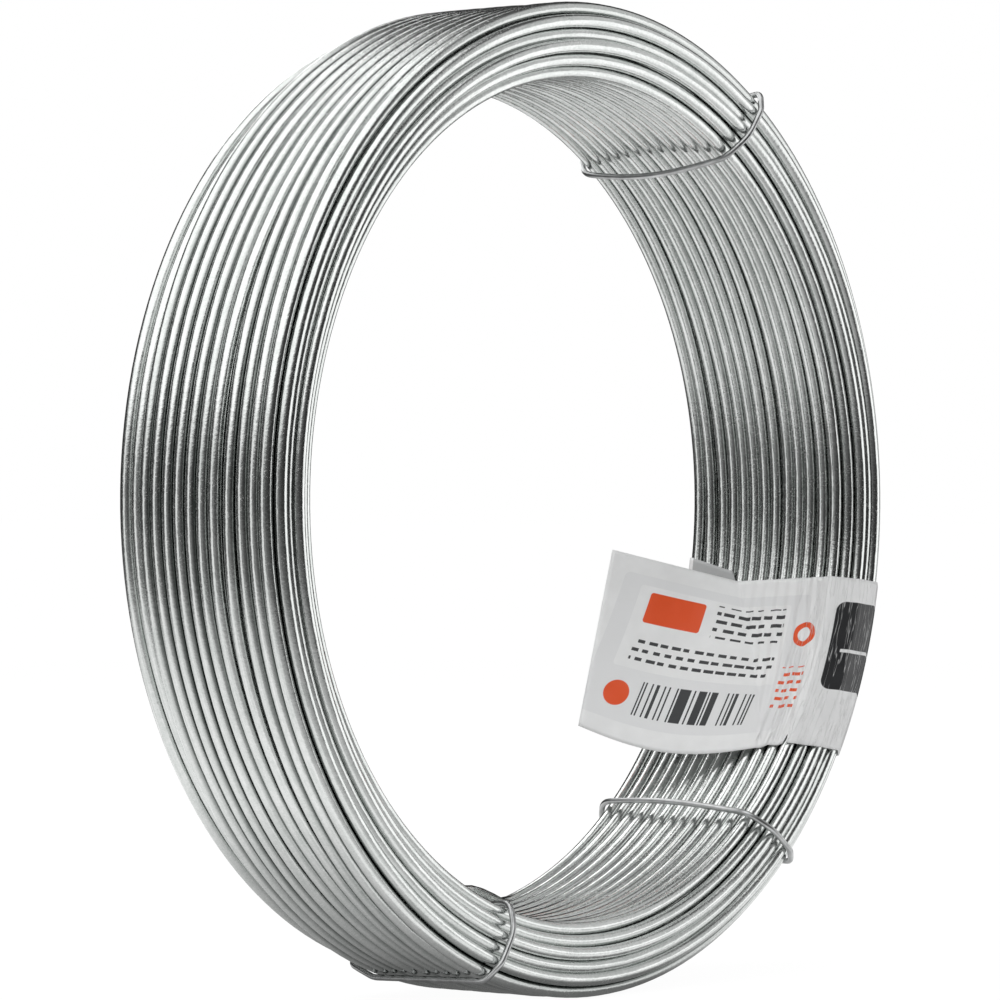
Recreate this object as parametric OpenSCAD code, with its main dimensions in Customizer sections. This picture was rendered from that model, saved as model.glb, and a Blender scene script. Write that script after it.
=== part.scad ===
// Coil of galvanised steel wire, standing on its rim, held by three wire ties and
// carrying a folded paper label. Millimetres, +Z up, the coil's axis along Y, and
// the origin under the middle of the coil on the surface that it stands on.

/* [Wire] */
// Diameter of the coiled wire
wire_d = 2.77; // [2:0.01:4]
// Gap between neighbouring turns of a layer
turn_gap = 0.12; // [0.03:0.01:0.25]

/* [Coil] */
// Diameter of the eye of the coil, over the crests of the first layer
bore_d = 162.6; // [120:0.1:240]
// Turns across the full width of the coil
widest_turns = 15; // [13:1:20]
// Half pitches by which each layer, from the eye outwards, stops short of the near end
near_short = [2, 1, 0, 1, 0, 1];
// Half pitches by which each layer stops short of the far end, where the last layer is unfinished
far_short = [2, 1, 0, 1, 2, 7];
// Height of the filled groove above the wire centres, as a share of the wire
groove_fill = 0.2; // [0.1:0.05:0.3]
// Place where the turned section begins, in degrees round the coil from +X
seam_angle = -6; // [-10:1:10]

/* [Ties] */
// Diameter of the tie wire
tie_d = 1.2; // [0.8:0.05:1.6]
// Room between a tie or the label and the wire crests
seat_gap = 0.1; // [0.05:0.01:0.3]
// Place of the tie near the top, in degrees round the coil from +X
upper_tie_angle = 56; // [45:1:70]
// Place of the tie under the label
lower_tie_angle = -50; // [-60:1:-46]
// Place of the tie at the bottom
bottom_tie_angle = -109; // [-120:1:-100]

/* [Label] */
// Thickness of one layer of the label
label_t = 0.2; // [0.15:0.05:0.4]
// Middle of the label, in degrees round the coil from +X
label_angle = -22.5; // [-28:0.5:-15]
// Width of the label strip
label_w = 37; // [25:0.5:40]
// Distance from the far end of the coil to the fold where the flag leaves the bore
flag_fold = 15.5; // [12:0.5:20]
// Length of the free flag
flag_l = 25; // [15:0.2:26]
// Lean of the flag off the bore wall
flag_lean = 46; // [40:1:60]

/* [Hidden] */
$fn = 96;

turn_pitch = wire_d + turn_gap;
half_pitch = turn_pitch / 2;
// Turns of one layer lie in the grooves of the layer under it
layer_step = sqrt(wire_d * wire_d - half_pitch * half_pitch);
last_layer = len(near_short) - 1;
half_width = (widest_turns - 1) * half_pitch;
coil_end = half_width + wire_d / 2;
coil_r = layer_r(last_layer) + wire_d / 2;
corner_steps = 6;
tie_sides = 12;

// Radius of the wire's centre in a layer, counted from 0 at the eye
function layer_r(k) = bore_d / 2 + wire_d / 2 + k * layer_step;
// Place along the axis of a layer's end turns, with the near end on the plus side
function near_z(k) = half_width - near_short[k] * half_pitch;
function far_z(k) = far_short[k] * half_pitch - half_width;
function turn_count(k) = round((near_z(k) - far_z(k)) / turn_pitch) + 1;
function turn_z(k, i) = near_z(k) - i * turn_pitch;
// A turn shows if it lies in the first or last layer, at an end, or beyond the layer over it
function shows(k, i) = k == 0 || k == last_layer || i == 0 || turn_z(k, i) < far_z(k + 1);

// End turns of the layers as (radius, axis): inwards along the near end, outwards along the far one
near_turns = [for (k = [last_layer : -1 : 0]) [layer_r(k), near_z(k)]];
far_turns = [for (k = [0 : last_layer]) [layer_r(k), far_z(k)]];
// A layer that stops well short leaves a ledge of the layer under it
far_ledges = [for (k = [0 : last_layer]) each concat([[layer_r(k), far_z(k)]],
    k < last_layer && far_short[k + 1] > far_short[k] + 1 ? [[layer_r(k), far_z(k + 1) - half_pitch]] : [])];

function cross_z(a, b) = a.x * b.y - a.y * b.x;
// Whether point i of a row stands outside every straight line that is drawn past it
function stands_out(row, i) = i == 0 || i == len(row) - 1
    || max([for (a = [0 : i - 1], b = [i + 1 : len(row) - 1]) cross_z(row[b] - row[a], row[i] - row[a])]) < -0.01;
function corners(row) = [for (i = [0 : len(row) - 1]) if (stands_out(row, i)) row[i]];
wrap_corners = concat(corners(near_turns), corners(far_turns));

function before(list, i) = list[(i + len(list) - 1) % len(list)];
function after(list, i) = list[(i + 1) % len(list)];
// Outward unit normal of the edge from a to b on a counter-clockwise outline
function edge_normal(a, b) = [b.y - a.y, a.x - b.x] / norm(b - a);
// The outline moved outwards by an equal distance, with mitred corners
function mitred(list, by) = [for (i = [0 : len(list) - 1])
    let (m = edge_normal(before(list, i), list[i]), n = edge_normal(list[i], after(list, i)))
        list[i] + by * (m + n) / (1 + m * n)];
// The line of a band pulled tight round the section, at a distance from the corner wires' centres
function wrapped(list, by) = [for (i = [0 : len(list) - 1])
    let (m = edge_normal(before(list, i), list[i]), n = edge_normal(list[i], after(list, i)),
        start = atan2(m.y, m.x), sweep = atan2(cross_z(m, n), m * n))
        for (s = [0 : corner_steps])
            let (a = start + sweep * s / corner_steps) list[i] + by * [cos(a), sin(a)]];

// Line of a tie, closed round the section
tie_route = wrapped(wrap_corners, wire_d / 2 + seat_gap + tie_d / 2);
// Rim of a wire round each point of a closed route in the (radius, axis) plane
function tube_points(route, d, sides) = [for (i = [0 : len(route) - 1])
    let (along = after(route, i) - before(route, i), out = [along.y, -along.x] / norm(along))
        for (j = [0 : sides - 1])
            let (flat = route[i] + d / 2 * cos(360 * j / sides) * out)
                [flat.x, d / 2 * sin(360 * j / sides), flat.y]];
function tube_faces(count, sides) = [for (i = [0 : count - 1], j = [0 : sides - 1])
    let (here = i * sides, next = (i + 1) % count * sides, up = (j + 1) % sides)
        [here + j, next + j, next + up, here + up]];

// Turns the coil's own axis, +Z in the sections below, to lie along -Y, with the rim on the floor
module standing() {
    translate([0, 0, coil_r]) rotate([90, 0, 0]) children();
}

module coil_section() {
    polygon(mitred(concat(near_turns, far_ledges), groove_fill * wire_d));
    for (k = [0 : last_layer], i = [0 : turn_count(k) - 1])
        if (shows(k, i)) translate([layer_r(k), turn_z(k, i)]) circle(d = wire_d);
}

module wire_coil() {
    color("lightslategray") standing() rotate(seam_angle) rotate_extrude() coil_section();
}

module tie(angle) {
    color("gray") standing() rotate(angle)
        polyhedron(tube_points(tie_route, tie_d, tie_sides), tube_faces(len(tie_route), tie_sides));
}

module label_section() {
    inside = wire_d / 2 + seat_gap;
    difference() {
        polygon(wrapped(wrap_corners, inside + label_t));
        polygon(wrapped(wrap_corners, inside));
    }
    // The two ends of the strip, stuck back to back, leave the bore wall as a flag
    translate([bore_d / 2 - seat_gap, flag_fold - coil_end]) rotate(270 - flag_lean)
        translate([0, -label_t]) square([flag_l, 2 * label_t]);
}

module label() {
    color("whitesmoke") standing() rotate(label_angle) intersection() {
        rotate(-45) rotate_extrude(angle = 90) label_section();
        translate([0, -label_w / 2, -2 * coil_end]) cube([2 * coil_r, label_w, 4 * coil_end]);
    }
}

wire_coil();
tie(upper_tie_angle);  // upper_tie
tie(lower_tie_angle);  // lower_tie
tie(bottom_tie_angle);  // bottom_tie
label();
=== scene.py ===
"""Winds, binds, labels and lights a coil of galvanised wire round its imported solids.

The coil stands on its rim with its axis along Y and its near end towards -Y. Places on it
are given as a radius, an angle round the coil from +X, and a distance towards the near end.
"""

import math

import bpy
import numpy as np
from bpy.props import (
    FloatProperty,
    FloatVectorProperty,
    IntProperty,
    PointerProperty,
)
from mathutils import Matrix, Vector


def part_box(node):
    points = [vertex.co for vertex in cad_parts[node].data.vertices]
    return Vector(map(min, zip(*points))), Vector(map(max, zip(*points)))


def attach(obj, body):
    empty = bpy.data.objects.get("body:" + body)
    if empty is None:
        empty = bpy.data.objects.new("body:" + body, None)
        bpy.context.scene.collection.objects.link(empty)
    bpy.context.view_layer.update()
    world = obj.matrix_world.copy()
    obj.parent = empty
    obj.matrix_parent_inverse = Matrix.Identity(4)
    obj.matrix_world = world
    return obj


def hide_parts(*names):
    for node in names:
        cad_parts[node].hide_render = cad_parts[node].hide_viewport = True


bl_info = {
    "name": "Wire coil",
    "version": (1, 0, 0),
    "blender": (4, 5, 0),
    "location": "View3D > Sidebar > Wire coil",
    "description": "Winds a bound and labelled coil of galvanised wire round its solids",
    "category": "Add Mesh",
}

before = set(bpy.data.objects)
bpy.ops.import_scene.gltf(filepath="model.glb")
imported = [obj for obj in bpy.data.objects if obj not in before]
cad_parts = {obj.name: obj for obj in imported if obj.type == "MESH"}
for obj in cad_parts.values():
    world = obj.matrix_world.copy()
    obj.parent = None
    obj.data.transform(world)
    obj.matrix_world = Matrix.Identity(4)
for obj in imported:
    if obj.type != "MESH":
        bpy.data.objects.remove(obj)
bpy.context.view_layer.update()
COIL_LOW, COIL_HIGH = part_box("wire_coil")
AXIS_HEIGHT = (COIL_LOW.z + COIL_HIGH.z) / 2
RIM_RADIUS = (COIL_HIGH.z - COIL_LOW.z) / 2
HALF_WIDTH = (COIL_HIGH.y - COIL_LOW.y) / 2

MM = 0.001
WHITE = (1, 1, 1, 1)

# Winding

# Half pitches by which each layer, from the eye outwards, stops short of an end
NEAR_SHORT = (2, 1, 0, 1, 0, 1)
FAR_SHORT = (2, 1, 0, 1, 2, 7)
WIDEST_TURNS = 15
# Each turn crosses to the next one behind the label, and ends where the crossing does
CROSSING_SPAN = math.radians(20)
TURN_START = math.radians(-13)
# Random waves round the coil: how fast the shorter ones fade, and what their sum is divided by
WAVE_FADE = 0.8
WAVE_SUM = 1.6
# Share of a pitch by which an end turn in a groove slumps out, on the average, and its spread
SLUMP = 0.24
SLUMP_SPREAD = 0.15
# Limits of the waves that make the gaps between turns unequal
GAP_LIMITS = (-1.6, 0.9)
# How far a turn wanders out of round, and how far it may lie under or over its layer
RIPPLE = 0.09 * MM
RIPPLE_LIMITS = (-0.25 * MM, 0.05 * MM)
# Share that a turn takes up of the height at which a closed groove would carry it
PERCH = 0.45
# How far a loose turn stands into the eye, and where
LOOSE_TURN = 5 * MM
LOOSE_START = math.radians(-78.5)
LOOSE_SPAN = math.radians(17)

# Zinc, and painted shade with grime between turns

# Clear distances to the next turn at which a groove between turns begins and is deepest, and with it the
# painted shade and grime
GROOVE_MOUTH = 1.2 * MM
GROOVE_FLOOR = 0.25 * MM
# Share of the outer layer's painted shade and grime that the inner layers have
INNER_GRIME_AND_SHADE = 0.25
# Range of the random drift that makes patches, and the shares of painted shade and grime that it gives
GRIME_AND_SHADE_PATCHES = ((0.15, 0.85), (0.35, 1.35))
# Steps along the wire between changes of painted shade and grime, and of tone
GRIME_AND_SHADE_STEPS = 60
TONE_STEPS = 40
# Share of the zinc that full painted shade and grime cover
GRIME_AND_SHADE_COVER = 0.85
SPECK_COLOUR = (0.9, 0.91, 0.9, 1.0)
# Edges sharper than this stay sharp on a wire
SMOOTH_ANGLE = math.radians(50)

# Ties

# Angles at the eye's near corner, the rim's near and far corners and the eye's far corner, in
# degrees, how far the tie bows off the eye's wall, and how far it stands off the rim's near corner
TIE_BENDS = {
    "upper_tie": ((58.2, 57.0, 55.0, 56.2), 2.2 * MM, 0.8 * MM),
    "lower_tie": ((-51.6, -49.0, -49.5, -50.6), 1.4 * MM, 0.3 * MM),
    "bottom_tie": ((-108.3, -111.2, -108.0, -99.0), 0.0, 0.0),
}
TIE_LOOSENESS = 0.45 * MM
TIE_STEPS = 260
# Points of a bent wire that are closer than this are merged
MERGE_DISTANCE = 0.01 * MM
# Darkest share of the tie wire's colour
TIE_DARK = 0.72
# Steps over which the loose route, the pulled one, the swing and the stand-off are evened out
TIE_SOFT, TIE_TIGHT, TIE_SWING, TIE_LIFT = 15, 7, 41, 7
# Edges of the section that face the axis more than this leave a tie room to stand off
EYE_FACING = -0.3
# Weight of the radius, against the place along the axis, that tells the section's corners apart
CORNER_LEAN = 3

# Label, with angles in degrees

LABEL_ROOM = 0.22 * MM
# Rows across the strip, and steps along its flag, eye wall, band and hidden end
ROW_COUNT = 49
FLAG_STEPS, WALL_STEPS, BAND_STEPS, END_STEPS = 35, 59, 720, 23
# Upper and lower tip of the flag: radius, angle and place along the axis
FLAG_TIPS = ((59.9 * MM, -9.9, -22.5 * MM), (65.8 * MM, -44.8, -21.8 * MM))
# How far the flag's lower part is drawn to the wall, and which way
FLAG_HUG = 3.4 * MM
HUG_WAY = np.array((-0.25, 0.0, -0.97))
# Waves of the flag: radians along it, across it and at its tip, and height, and which way they go
FLAG_WAVES = ((2.2, 3.1, 0.0, 0.5 * MM), (8.0, 5.0, 1.0, 0.22 * MM))
WAVE_WAY = np.array((0.6, 0.8, 0.0))
# Place along the axis of the fold's upper and lower ends, its angle, and how the strip turns on
FOLD_ENDS = (-5.4 * MM, 12.2 * MM)
FOLD_ANGLE = -25.2
WALL_SWING = 0.9
BAND_SWING = ((0, 0.18, 0.55, 1.0), (-24.3, -22.1, -21.9, -21.7))
END_SWING = -2.0
# How far the paper sinks between turns and lifts beside the fold
PAPER_DIP = 0.32 * MM
PAPER_LIFT = 0.5 * MM
# A nick in the lower edge: its depth, its place and width as shares of the wall, and sharpness
NICK = (2.2 * MM, 0.93, 0.05, 12)
# The hidden end stops short of the fold, and lies a little nearer to the wire than the rest
END_SHORT = 1.5 * MM
END_SINK = 0.12 * MM
# Distance along the strip of the eye's near corner, and the scale of the strip's map
CORNER_MARK = 50.5 * MM
MAP_PER_METRE = 10
MM_PER_MAP = 1 / (MAP_PER_METRE * MM)
# Darkest share of the paper's colour
PAPER_DARK = 0.93

# The label's print, and a painted shade on the strip's far end, in order: kind, ink, middle, half size
# and corner radius along and across the strip in millimetres, and for dashes their length and weight
LABEL_PRINT = (
    ("block", "panel", (25.5, 18.6), (21.5, 15.0), 1.2),
    ("block", "paper", (25.0, 14.2), (17.0, 8.6), 0.6),
    ("block", "accent", (16.5, 10.0), (6.0, 3.2), 0.6),
    ("dashes", "ink", (33.0, 10.0), (8.0, 3.6), 0.1, 3.1, 0.42),
    ("dashes", "ink", (25.5, 18.4), (15.0, 2.7), 0.1, 2.4, 0.38),
    ("stripes", "ink", (27.5, 28.2), (12.0, 3.4), 0.05),
    ("block", "accent", (11.0, 28.2), (2.6, 2.6), 2.6),
    ("block", "accent", (46.5, 12.0), (2.6, 2.6), 2.6),
    ("block", "paper", (46.5, 12.0), (1.5, 1.5), 1.5),
    ("dashes", "accent", (46.0, 24.0), (2.8, 5.0), 0.1, 2.2, 0.4),
    ("block", "ink", (66.0, 14.5), (13.0, 9.5), 2.2),
    ("block", "paper", (66.0, 15.4), (10.5, 0.35), 0.2),
    # Painted shade: the strip's far end, which lies in shade behind the flag, is painted grey
    ("block", "tail", (137.0, 18.6), (16.0, 25.0), 0.1),
)
# Height of a row of dashes in millimetres, and the dashes by which each row is shifted on
DASH_ROW = 1.8
ROW_SHIFT = 3.37
STRIPES_PER_MM = 3.1
# Where the strip is creased: middle, half size and corner radius, and how creases draw out
CREASED = ((53.0, 18.6), (10.0, 25.0), 4.0)
CREASE_SCALE = (0.8, 0.06, 0.0)

# Stage

# The tent's white roof leans to -X. Its brightness by the angle from the roof's middle, in degrees
ROOF_LEAN = math.radians(30)
ROOF_LIGHT = [
    (0, 1.5), (42, 1.4), (48.5, 0.7), (55.5, 0.13), (72, 0.055), (95, 0.025), (180, 0.02),
]
TENT_RADIUS = 2
# Lit gaps in the sides: bearing from +X, half width, top, soft edge (degrees) and brightness
TENT_GAPS = [
    (163, 14, 30, 8, 1.0), (-30, 28, 12, 8, 1.35), (-30, 28, 48, 16, 0.65), (-170, 19, 24, 14, 0.2),
]
FLOOR_SIZE = 30
FLOOR_COLOUR = (0.86, 0.86, 0.86, 1)
# Brightness of the floor to the eye, and the share of it that is glow
FLOOR_SEEN = 1.05
FLOOR_GLOW = 0.92
# The floor that the metal mirrors: shadow under the coil, from one distance to another, its
# darkest and lightest, and where it ends in front of the coil
CONTACT_SHADOW = (0.03, 0.1, 0.15, 1.0)
SHADOW_END = (0.022, 0.036)
# Its brightness from the front to the back of a span along Y, as shares of the span
FLOOR_SPAN = (-0.15, 0.15)
FLOOR_LIGHT = [
    (0.0, 0.4), (0.26, 0.5), (0.34, 0.85), (0.42, 0.8), (0.65, 0.8), (0.78, 0.7), (0.92, 1.0),
]
FLOOR_GAIN = 1.3
# Distances between which the floor gives way to the tent's hem
FLOOR_EDGE = (0.12, 0.42)
# White cards that the metal mirrors: place, turn about X and Y (degrees), size and brightness
CARDS = {
    "back_card": ((0.105, 0.157, 0.225), (90, 31), (0.19, 0.11), 2.2),
    "top_card": ((0.08, 0.13, 0.376), (0, 0), (0.17, 0.045), 2.0),
}
# Lamps that aim at the middle of the coil: place, size and power
LAMPS = {
    "overhead": ((-0.5, 0.3, 1.3), 1.4, 12.0),
    "front": ((-1.0, -1.2, 0.9), 0.8, 5.0),
}
# Strength of the white room as light and as what is seen
ROOM_LIGHT = (0.45, 1.0)
CAMERA_SENSOR = 36
CAMERA_SHIFT = -0.0175
CAMERA_NEAREST = 0.05


# Settings


def length_setting(name, description, default, low, high):
    """A length that is given in millimetres."""
    return FloatProperty(
        name=name, description=description, default=default * MM, min=low * MM, max=high * MM,
        precision=5, unit="LENGTH",
    )


def colour_setting(name, description, default):
    return FloatVectorProperty(
        name=name, description=description, default=default, subtype="COLOR", min=0.0, max=1.0,
    )


class WireSettings(bpy.types.PropertyGroup):
    """The coiled wire"""

    diameter: length_setting("Diameter", "Thickness of the coiled wire", 2.77, 1, 5)
    slack: length_setting("Slack", "Room that loose winding leaves beside each turn", 0.16, 0, 0.3)
    sides: IntProperty(
        name="Sides", description="Faces round the wire", default=14, min=6, max=24,
    )
    steps: IntProperty(
        name="Steps", description="Rings of faces in each turn", default=180, min=72, max=360,
    )
    unevenness: FloatProperty(
        name="Unevenness", description="How unequal the gaps between turns are",
        default=1.3, min=0.0, max=2.0,
    )
    bright: colour_setting("Bright zinc", "Clean zinc on the drawn wire", (0.88, 0.885, 0.88))
    dull: colour_setting("Dull zinc", "Greyed zinc in streaks along the wire", (0.56, 0.595, 0.575))
    # Colour of the painted shade, with dust and oxide, that darkens the grooves between turns
    grime_and_shade: colour_setting(
        "Grime", "Dark dust and oxide in the grooves between turns", (0.1, 0.115, 0.107),
    )


class TieSettings(bpy.types.PropertyGroup):
    """The three tie wires"""

    diameter: length_setting("Diameter", "Thickness of the tie wire", 1.2, 0.5, 2)
    seat: length_setting("Seat", "Room between a tie and the wire crests", 0.1, 0, 0.5)
    colour: colour_setting("Tie wire", "Soft annealed zinc", (0.60, 0.61, 0.61))


class LabelSettings(bpy.types.PropertyGroup):
    """The folded label"""

    width: length_setting("Width", "Width of the label strip", 37.2, 20, 45)
    thickness: length_setting("Thickness", "Thickness of one ply", 0.16, 0.1, 0.4)
    paper: colour_setting("Paper", "Coated paper", (0.86, 0.865, 0.865))
    panel: colour_setting("Panel", "Pale printed ground", (0.77, 0.775, 0.78))
    accent: colour_setting("Accent", "Orange print", (0.75, 0.074, 0.005))
    # Painted shade: grey on the strip's far end, which lies in shade behind the flag
    tail: colour_setting("Tail", "Grey ground on the strip's far end", (0.42, 0.43, 0.43))
    ink: colour_setting("Ink", "Charcoal print", (0.025, 0.026, 0.028))


class StageSettings(bpy.types.PropertyGroup):
    """The camera"""

    azimuth: FloatProperty(
        name="Azimuth", description="Camera's place round the coil, from -Y",
        default=math.radians(-50.96), subtype="ANGLE",
    )
    distance: FloatProperty(
        name="Distance", description="From the camera to the middle of the coil",
        default=0.959, min=0.3, max=5.0, unit="LENGTH",
    )
    lens: FloatProperty(
        name="Lens", description="Focal length in millimetres", default=176.8, min=50.0, max=300.0,
    )


# The section of the coil


def pitch(wire):
    return (2 * HALF_WIDTH - wire.diameter) / (WIDEST_TURNS - 1)


def layer_radius(wire, layer):
    """Radius of the wire's centre in a layer that lies in the grooves of the one below."""
    step = math.sqrt(wire.diameter ** 2 - (pitch(wire) / 2) ** 2)
    return RIM_RADIUS - wire.diameter / 2 - (len(NEAR_SHORT) - 1 - layer) * step


def layer_ends(wire, layer):
    """Places along the axis of a layer's nearest and farthest turns."""
    half = pitch(wire) / 2
    reach = HALF_WIDTH - wire.diameter / 2
    return reach - NEAR_SHORT[layer] * half, FAR_SHORT[layer] * half - reach


def turn_count(layer):
    return WIDEST_TURNS - (NEAR_SHORT[layer] + FAR_SHORT[layer]) // 2


def outline(wire, away):
    """Line of a band pulled tight round the section, from the eye's near corner outwards.

    Gives (radius, along) points, with an arc round each corner wire.
    """
    centres = []
    for layer in range(len(NEAR_SHORT)):
        near, far = layer_ends(wire, layer)
        centres += [(layer_radius(wire, layer), near), (layer_radius(wire, layer), far)]
    centres.sort()
    # Turns smaller than this count as straight
    straight = 1e-9

    def chain(points):
        kept = []
        for p in points:
            while len(kept) > 1 and turns_left(kept[-2], kept[-1], p) <= straight:
                kept.pop()
            kept.append(p)
        return kept

    hull = chain(centres)[:-1] + chain(centres[::-1])[:-1]
    hull = hull[::-1]
    first = max(range(len(hull)), key=lambda i: hull[i][1] - CORNER_LEAN * hull[i][0])
    hull = hull[first:] + hull[:first]
    arc_steps = 6
    line = []
    for i, corner in enumerate(hull):
        before = edge_angle(hull[i - 1], corner)
        after = edge_angle(corner, hull[(i + 1) % len(hull)])
        sweep = (after - before + math.pi) % (2 * math.pi) - math.pi
        for s in range(arc_steps + 1):
            a = before + sweep * s / arc_steps
            line.append((corner[0] + away * math.cos(a), corner[1] + away * math.sin(a)))
    return line


def turns_left(a, b, c):
    return (b[0] - a[0]) * (c[1] - a[1]) - (b[1] - a[1]) * (c[0] - a[0])


def edge_angle(a, b):
    """Angle of the outward normal of an edge on a clockwise outline."""
    return math.atan2(b[0] - a[0], -(b[1] - a[1]))


def on_coil(radius, angle, along):
    return (radius * math.cos(angle), -along, AXIS_HEIGHT + radius * math.sin(angle))


def way_along(points):
    """Distance of each point from the first one, along the line through them."""
    return np.concatenate([[0], np.cumsum(np.linalg.norm(np.diff(points, axis=0), axis=1))])


def along_line(line, count):
    """Points at equal distances on a closed line in the plane of the section."""
    points = np.array(line + [line[0]])
    reach = way_along(points)
    at = np.linspace(0, reach[-1], count, endpoint=False)
    return np.stack([np.interp(at, reach, points[:, i]) for i in (0, 1)], axis=1)


# Winding


def wander(rng, rows, angles, terms=6):
    """Smooth random waves round the coil, one row a turn."""
    total = np.zeros((rows, len(angles)))
    for m in range(1, terms + 1):
        swing = rng.normal(size=(2, rows, 1)) / m ** WAVE_FADE
        total += swing[0] * np.cos(m * angles) + swing[1] * np.sin(m * angles)
    return total / WAVE_SUM


def in_groove(short, layer):
    """Whether a layer ends inside the line between its neighbours' ends."""
    if layer in (0, len(short) - 1):
        return False
    return 2 * short[layer] > short[layer - 1] + short[layer + 1]


def stack_layers(wire):
    """Radius and place along the axis of every turn, layer by layer, at each step round the coil."""
    rng = np.random.default_rng(41)
    angles = TURN_START + 2 * math.pi * np.arange(wire.steps) / wire.steps
    layers = []
    for layer in range(len(NEAR_SHORT)):
        count = turn_count(layer)
        near, far = layer_ends(wire, layer)
        # An end turn that lies in a groove of the end face slumps part of the way out
        slump = pitch(wire) * (SLUMP + SLUMP_SPREAD * np.tanh(wander(rng, 2, angles)))
        first = near + slump[0] * in_groove(NEAR_SHORT, layer)
        last = far - slump[1] * in_groove(FAR_SHORT, layer)
        # Each gap takes its own share of the room that the layer leaves
        share = np.exp(wire.unevenness * np.clip(wander(rng, count - 1, angles), *GAP_LIMITS))
        share /= share.sum(axis=0)
        solid = wire.diameter - wire.slack
        room = first - last - (count - 1) * solid
        along = np.empty((count, wire.steps))
        along[0] = first
        along[1:] = first - solid * np.arange(1, count)[:, None] - room * np.cumsum(share, axis=0)
        level = layer_radius(wire, layer)
        radius = level + wander(rng, count, angles, 5) * RIPPLE
        if layers:
            # A turn over a closed groove rides higher than its neighbours
            below = layers[-1]
            apart = along[:, None, :] - below["along"][None, :, :]
            rise = np.sqrt(np.maximum(wire.diameter ** 2 - apart ** 2, 0))
            perched = np.where(rise > 0, below["radius"][None] + rise, 0).max(axis=1)
            radius += PERCH * (perched - perched.mean())
        radius = level + np.clip(radius - level, *RIPPLE_LIMITS)
        layers.append({"along": along, "radius": radius})
    # The farthest turn in the eye has sprung loose at the bottom
    back = (LOOSE_START - angles) % (2 * math.pi)
    layers[0]["radius"][-1] -= LOOSE_TURN * np.sin(math.pi * np.clip(back / LOOSE_SPAN, 0, 1))
    return layers


def winding_paths(wire):
    """Centres of the wire in winding order, one array of (angle, radius, along) a layer."""
    turns = []
    for layer, item in enumerate(stack_layers(wire)):
        order = list(range(turn_count(layer)))
        if layer % 2:
            order.reverse()
        turns.append([np.stack([item["radius"][i], item["along"][i]]) for i in order])
    # Each turn keeps its own plane, then crosses to the next one in the zone
    zone = CROSSING_SPAN / (2 * math.pi)
    moved = np.clip((np.arange(wire.steps) / wire.steps - (1 - zone)) / zone, 0, 1)
    moved = moved * moved * (3 - 2 * moved)
    paths = []
    for layer, own in enumerate(turns):
        # The last turn of a layer climbs to the first of the next, and the very last one ends
        goal = turns[layer + 1][0] if layer + 1 < len(turns) else own[-1]
        rows = [here + (there - here) * moved for here, there in zip(own, own[1:] + [goal])]
        path = np.concatenate(rows + [goal[:, :1]], axis=1)
        angle = TURN_START + 2 * math.pi * np.arange(path.shape[1]) / wire.steps
        paths.append(np.stack([angle, path[0], path[1]], axis=1))
    return paths


def groove_shares(wire, paths):
    """How deep each point of the wire's surface lies between turns, layer by layer, from 0 to 1."""
    half = (wire.diameter - wire.slack) / 2
    turn = 2 * math.pi * np.arange(wire.sides) / wire.sides
    ring = half * np.stack([np.cos(turn), -np.sin(turn)], axis=1)
    shares = [np.zeros((len(path), wire.sides)) for path in paths]
    for step in range(wire.steps):
        rows = [path[step::wire.steps, 1:] for path in paths]
        centres = np.concatenate(rows)
        points = centres[:, None, :] + ring[None, :, :]
        apart = np.linalg.norm(points[:, :, None, :] - centres[None, None, :, :], axis=3) - half
        own = np.arange(len(centres))
        apart[own, :, own] = np.inf
        depth = np.clip((GROOVE_MOUTH - apart.min(axis=2)) / (GROOVE_MOUTH - GROOVE_FLOOR), 0, 1)
        parts = np.split(depth, np.cumsum([len(row) for row in rows])[:-1])
        for share, part in zip(shares, parts):
            share[step::wire.steps] = part
    return shares


# Making pieces


def deselect():
    if bpy.context.object and bpy.context.object.mode != "OBJECT":
        bpy.ops.object.mode_set(mode="OBJECT")
    bpy.ops.object.select_all(action="DESELECT")


def apply(piece, kind, name, **settings):
    modifier = piece.modifiers.new(name, kind)
    for key, value in settings.items():
        setattr(modifier, key, value)
    bpy.ops.object.modifier_apply(modifier=modifier.name)


def face_outwards():
    """Turns the faces of the piece in edit mode outwards, and leaves edit mode."""
    bpy.ops.mesh.select_all(action="SELECT")
    bpy.ops.mesh.normals_make_consistent(inside=False)
    bpy.ops.object.mode_set(mode="OBJECT")


def wind_layer(wire, layer, path, grooves):
    """One layer of wire: a round section screwed along the axis, then laid on its path."""
    deselect()
    bpy.ops.mesh.primitive_circle_add(
        vertices=wire.sides, radius=wire.diameter / 2, fill_type="NOTHING",
        location=(float(path[0, 1]), 0, 0),
    )
    piece = bpy.context.object
    piece.name = f"wire_layer_{layer + 1}"
    bpy.ops.object.transform_apply(location=True, rotation=True, scale=True)
    apply(
        piece, "SCREW", "Winding", axis="Y", angle=2 * math.pi, screw_offset=pitch(wire),
        iterations=turn_count(layer), steps=wire.steps, render_steps=wire.steps,
        use_smooth_shade=True, use_merge_vertices=False,
    )
    lay_on_path(piece.data, path, wire.sides, (wire.diameter - wire.slack) / 2)
    deselect()
    piece.select_set(True)
    bpy.context.view_layer.objects.active = piece
    bpy.ops.object.mode_set(mode="EDIT")
    bpy.ops.mesh.select_all(action="DESELECT")
    bpy.ops.mesh.select_mode(type="EDGE")
    bpy.ops.mesh.select_non_manifold()
    bpy.ops.mesh.edge_face_add()
    face_outwards()
    bpy.ops.object.shade_smooth_by_angle(angle=SMOOTH_ANGLE)
    mark_wire(piece.data, path, wire.sides, layer)
    mark_points(piece.data, "groove", grooves)
    return piece


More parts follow.
